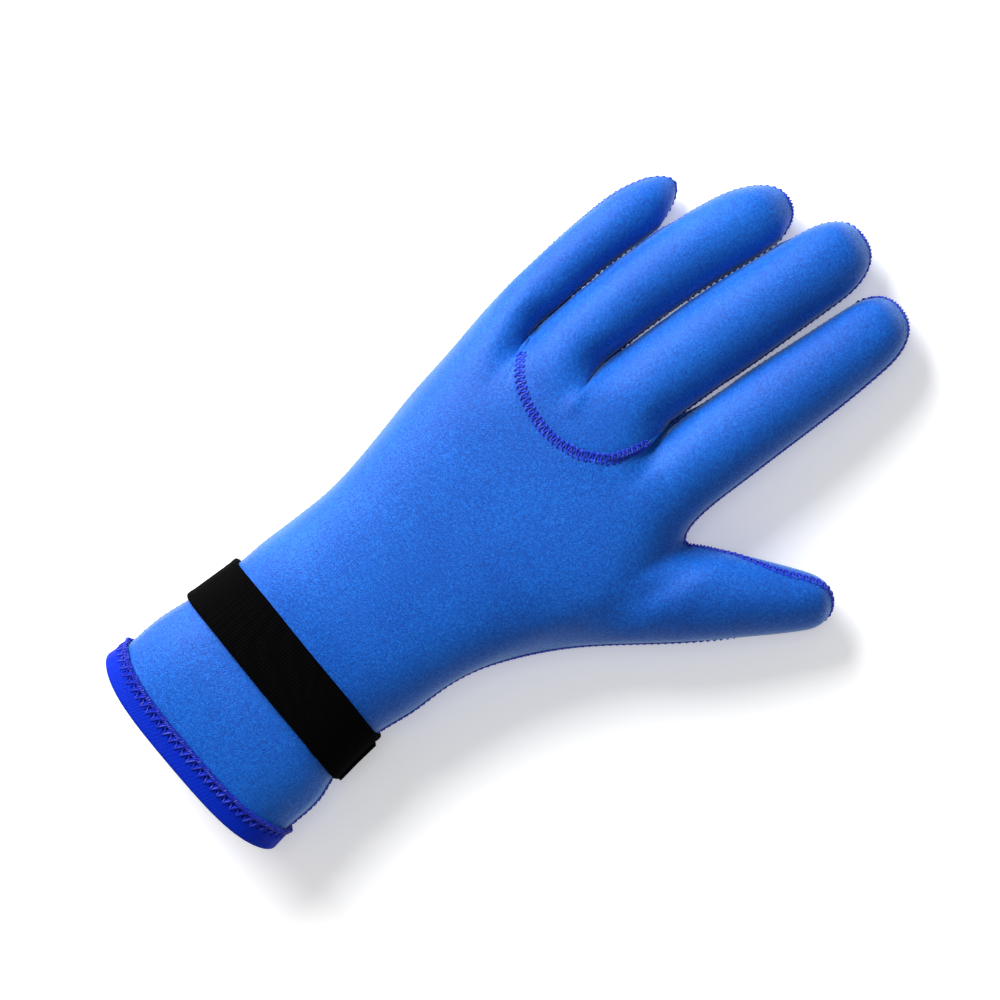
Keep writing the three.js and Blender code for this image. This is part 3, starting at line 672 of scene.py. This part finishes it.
def hem_material():
    """Dense overlock thread: fine ribs that lie across the binding, with painted shade that darkens the pits
    by their depth and painted light along the raised welt.
    """
    material, tree, shader = new_material("royal_blue_overlock", 0.6, 0.05)
    weave = add_node(tree, "ShaderNodeUVMap", uv_map="weave").outputs["UV"]
    place = add_node(tree, "ShaderNodeTexCoord").outputs["Object"]
    slanted = add_node(tree, "ShaderNodeMapping", {"Rotation": (0, 0, math.radians(12))})
    ribs = add_node(tree, "ShaderNodeTexWave", {"Scale": 560, "Distortion": 1.2, "Detail Scale": 2})
    tree.links.new(weave, slanted.inputs["Vector"])
    tree.links.new(slanted.outputs["Vector"], ribs.inputs["Vector"])
    fibres = noise(tree, place, 3600, 2, 0.7)
    relief = add_node(tree, "ShaderNodeAttribute", attribute_name="relief").outputs["Fac"]
    # Painted shade and light: the relief height is added to the tone, darker in the pits and lighter on the
    # welt.
    painted_relief_shade = add_node(tree, "ShaderNodeMath", {1: relief_painted_shade_strength}, operation="MULTIPLY_ADD")
    tree.links.new(relief, painted_relief_shade.inputs[0])
    tree.links.new(blended(tree, ribs.outputs["Fac"], fibres, 0.75), painted_relief_shade.inputs[2])
    toned(tree, painted_relief_shade.outputs["Value"], hem_tones, shader)
    embossed(tree, shader, [(ribs.outputs["Fac"], 0.4, 0.00015), (fibres, 0.4, 0.0001)])
    return material


binding, hem_line = band_copy("cuff_binding", "cuff_hem", hem_material(), corner=0.8, cuts=4)
roll_out(binding, hem_line)
shape_outside(binding, hem_line, skin, hem_relief)
lay_weave(binding, hem_line)
finish_piece(binding, "cuff_binding")
hem_skin = BVHTree.FromPolygons(
    [v.co.copy() for v in binding.data.vertices], [face.vertices for face in binding.data.polygons]
)
hem_length = placed_on(hem_line, hem_line)[2]
hem_steps = np.arange(0, hem_length, whole_pitch(hem_length, zigzag["pitch"]) / 12)
turn = 2 * np.pi * hem_steps / whole_pitch(hem_length, zigzag["pitch"])
link = 2 * np.pi * hem_steps / whole_pitch(hem_length, chain["pitch"])
to_and_fro = 2 / np.pi * np.arcsin(np.sin(turn))
middle_row = sum(hem_rows) / 2
half_row = (hem_rows[1] - hem_rows[0]) / 2
laid_threads = [(middle_row + zigzag["reach"] * half_row * to_and_fro, np.full(len(turn), zigzag["lift"]))]
for side in (-1, 1):
    across = chain["place"] + side * chain["sway"] * np.sin(link)
    lifts = chain["lift"] * (1 + side * np.cos(link))
    laid_threads.append((across, lifts))
hem_threads = [lifted_line(hem_skin, hem_line, hem_steps, across, lifts) for across, lifts in laid_threads]
hem_blue = thread_material("royal_blue_thread", hem_thread_tones)
finish_piece(thread_mesh("cuff_hem_threads", hem_threads, hem_thread, hem_blue))


# The wrist strap: black webbing with a thicker woven edge. It goes all round the wrist, and its narrower
# closing end is pressed down over it from the thumb's side.
strap_tones = {
    0.30: (0.0005, 0.0005, 0.0006, 1),
    0.55: (0.0012, 0.0012, 0.0014, 1),
    0.80: (0.0040, 0.0040, 0.0044, 1),
}
edge_welt = 0.00015
welt_width = 0.0012


def webbing_material():
    """Close black weave: ribs across the webbing, crossed by fine warp lines, with a little lint."""
    material, tree, shader = new_material("black_webbing", 0.9, 0.015)
    weave = add_node(tree, "ShaderNodeUVMap", uv_map="weave").outputs["UV"]
    place = add_node(tree, "ShaderNodeTexCoord").outputs["Object"]
    ribs = add_node(tree, "ShaderNodeTexWave", {"Scale": 290, "Distortion": 0.6})
    warp = add_node(tree, "ShaderNodeTexWave", {"Scale": 420, "Distortion": 0.6}, bands_direction="Y")
    for lines in (ribs, warp):
        tree.links.new(weave, lines.inputs["Vector"])
    lint = noise(tree, place, 3000, 2, 0.7)
    crossed = blended(tree, ribs.outputs["Fac"], warp.outputs["Fac"], 0.45)
    toned(tree, blended(tree, crossed, lint, 0.5), strap_tones, shader)
    embossed(tree, shader, [(crossed, 0.6, 0.0002), (lint, 0.3, 0.0001)])
    return material


def strap_relief(along, across, total):
    """A welt along both edges of the webbing."""
    width = across.max()
    from_edge = np.minimum(across, width - across)
    return edge_welt * (1 - (from_edge / welt_width - 1) ** 2) * (from_edge < 2 * welt_width)


black_webbing = webbing_material()
strap, strap_line = band_copy("wrist_strap", "wrist_band", black_webbing, corner=0.7, cuts=7)
shape_outside(strap, strap_line, skin, strap_relief)
lay_weave(strap, strap_line)
finish_piece(strap, "wrist_strap")
strap_tip, _ = band_copy("strap_end", "wrist_band_end", black_webbing, corner=0.7, cuts=7)
lay_weave(strap_tip, strap_line)
finish_piece(strap_tip, "strap_end")


# The table and the light: a plain white surface, one large soft light from the little finger's side, and
# a bright room.
bpy.ops.mesh.primitive_grid_add(x_subdivisions=2, y_subdivisions=2, size=6, location=(0, 0, 0))
floor = bpy.context.active_object
floor.name = "table_top"
white, white_tree, white_shader = new_material("white_table", 0.9, 0.1)
white_shader.inputs["Base Color"].default_value = (0.95, 0.95, 0.95, 1)
white_shader.inputs["Emission Color"].default_value = (1, 1, 1, 1)
white_shader.inputs["Emission Strength"].default_value = 0.3
floor.data.materials.append(white)


def soft_light(name, place, size, power):
    """A round soft lamp that points at the middle of the table."""
    lamp = bpy.data.objects.new(name, bpy.data.lights.new(name, "AREA"))
    bpy.context.scene.collection.objects.link(lamp)
    lamp.data.shape = "DISK"
    lamp.data.size = size
    lamp.data.energy = power
    lamp.location = place
    lamp.rotation_mode = "QUATERNION"
    lamp.rotation_quaternion = Vector(place).to_track_quat("Z", "Y")


soft_light("side_light", (-0.72, 0.06, 0.46), 0.6, 15.8)
soft_light("top_light", (-0.2, 0.2, 1.8), 0.8, 4)
room = bpy.data.worlds.new("room")
room.use_nodes = True
room.node_tree.nodes["Background"].inputs["Color"].default_value = (1, 1, 1, 1)
room.node_tree.nodes["Background"].inputs["Strength"].default_value = 0.3
bpy.context.scene.world = room
bpy.context.scene.view_settings.view_transform = "Standard"
